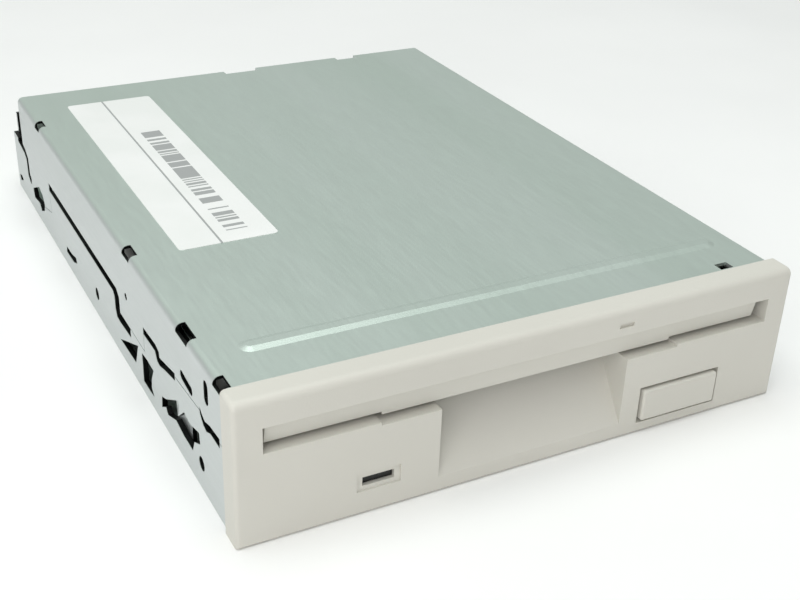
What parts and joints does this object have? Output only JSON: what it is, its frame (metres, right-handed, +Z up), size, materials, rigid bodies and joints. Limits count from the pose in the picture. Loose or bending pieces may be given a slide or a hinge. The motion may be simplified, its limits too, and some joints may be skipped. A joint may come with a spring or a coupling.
{
  "type": "floppy disk drive",
  "caption": "Slim floppy disk drive with a hinged slot door, eject button, loading tray, spindle motor and head carriage in a folded steel case.",
  "frame": {"origin": "centre of the footprint, on the surface the drive stands on", "axes": "+X to the right seen from the bezel, +Y from the bezel to the connectors, +Z up"},
  "size_m": [0.1016, 0.146, 0.0254],
  "materials": {
    "plated_steel": "zinc-plated sheet",
    "bezel_plastic": "moulded, fine grain",
    "pressed_steel": "plated sheet",
    "spring_wire": "drawn wire",
    "turned_steel": "ground",
    "screw_steel": "plated",
    "rotor_steel": "drawn sheet",
    "magnet_ferrite": "sintered",
    "copper_wire": "enamelled wire",
    "bearing_bronze": "sintered",
    "gold_plate": "plated",
    "green_laminate": "solder mask",
    "chip_epoxy": "moulded",
    "black_nylon": "moulded",
    "white_nylon": "moulded",
    "carriage_resin": "glass-filled",
    "head_ceramic": "lapped",
    "lamp_epoxy": "tinted",
    "ribbon_film": "polyimide film"
  },
  "bodies": {
    "chassis": {"base_frame": "plated_steel", "top_cover": "plated_steel", "front_bezel": "bezel_plastic", "door_spring": "spring_wire", "led_lamp": "lamp_epoxy", "slide_springs": "spring_wire", "motor_board": "green_laminate", "control_board": "green_laminate", "board_chips": "chip_epoxy", "board_screws": "screw_steel", "data_connector": "black_nylon", "data_pins": "gold_plate", "power_connector": "white_nylon", "power_pins": "gold_plate", "spindle_bearing": "bearing_bronze", "stator_core": "rotor_steel", "stator_coils": "copper_wire", "stepper_can": "rotor_steel", "stepper_bracket": "plated_steel", "screw_end_bearing": "white_nylon", "guide_rod": "turned_steel", "rod_clips": "white_nylon", "mechanism_screws": "screw_steel", "head_ribbon": "ribbon_film", "track_zero_sensor": "black_nylon", "lever_post": "turned_steel", "lever_spring": "spring_wire", "write_protect_switch": "black_nylon", "disk_in_switch": "black_nylon", "density_switch": "black_nylon"},
    "slide": {"slide_plate": "pressed_steel", "eject_button": "bezel_plastic"},
    "tray": {"disk_tray": "pressed_steel", "tray_pins": "turned_steel", "hold_down_springs": "spring_wire"},
    "door": {"dust_door": "bezel_plastic"},
    "lever": {"trigger_lever": "white_nylon"},
    "spindle": {"rotor_cup": "rotor_steel", "rotor_magnet": "magnet_ferrite", "drive_hub": "carriage_resin", "spindle_shaft": "turned_steel", "drive_pin": "turned_steel"},
    "screw": {"lead_screw": "turned_steel", "stepper_rotor": "magnet_ferrite"},
    "carriage": {"head_carriage": "carriage_resin", "carriage_bush": "bearing_bronze", "lower_head": "head_ceramic", "screw_follower": "spring_wire", "arm_pin": "turned_steel", "arm_spring": "spring_wire"},
    "arm": {"upper_arm": "pressed_steel", "upper_head": "head_ceramic"},
    "write_protect_key": {"write_protect_plunger": "white_nylon"},
    "disk_in_key": {"disk_in_plunger": "white_nylon"},
    "density_key": {"density_plunger": "white_nylon"}
  },
  "joints": [
    {"name": "eject_slide", "type": "slide", "parent": "chassis", "child": "slide", "axis": [0, -1, 0], "range_m": [0, 0.006], "deforming": ["slide_springs"]},
    {"name": "tray_lift", "type": "slide", "parent": "chassis", "child": "tray", "axis": [0, 0, -1], "range_m": [0, 0.00401]},
    {"name": "door_swing", "type": "hinge", "parent": "chassis", "child": "door", "pos_m": [0, -0.0705, 0.0212], "axis": [1, 0, 0], "range_deg": [0, 80], "stiffness_Nm_per_rad": 0.0003},
    {"name": "lever_turn", "type": "hinge", "parent": "chassis", "child": "lever", "pos_m": [-0.035, 0.0286, 0.0176], "axis": [0, 0, 1], "range_deg": [0, 35], "stiffness_Nm_per_rad": 0.001},
    {"name": "spindle_turn", "type": "hinge", "parent": "chassis", "child": "spindle", "pos_m": [0, -0.0204, 0.009], "axis": [0, 0, 1], "continuous": true},
    {"name": "carriage_travel", "type": "slide", "parent": "chassis", "child": "carriage", "axis": [0, -1, 0], "range_m": [0, 0.0148], "deforming": ["head_ribbon"]},
    {"name": "screw_turn", "type": "hinge", "parent": "chassis", "child": "screw", "pos_m": [0.021, 0.0176, 0.0092], "axis": [0, 1, 0], "range_deg": [0, 1421.5]},
    {"name": "arm_drop", "type": "hinge", "parent": "carriage", "child": "arm", "pos_m": [0, 0.0471, 0.0156], "axis": [1, 0, 0], "range_deg": [0, 13.64]},
    {"name": "write_protect_press", "type": "slide", "parent": "chassis", "child": "write_protect_key", "axis": [0, 0, -1], "range_m": [0, 0.0012], "stiffness_N_per_m": 20},
    {"name": "disk_in_press", "type": "slide", "parent": "chassis", "child": "disk_in_key", "axis": [0, 0, -1], "range_m": [0, 0.0012], "stiffness_N_per_m": 20},
    {"name": "density_press", "type": "slide", "parent": "chassis", "child": "density_key", "axis": [0, 0, -1], "range_m": [0, 0.0012], "stiffness_N_per_m": 20}
  ],
  "couplings": [
    {"joint": "tray_lift", "follows": "eject_slide", "ratio": 0.66667},
    {"joint": "arm_drop", "follows": "eject_slide", "rad_per_m": 39.659},
    {"joint": "screw_turn", "follows": "carriage_travel", "rad_per_m": 1675.5}
  ]
}
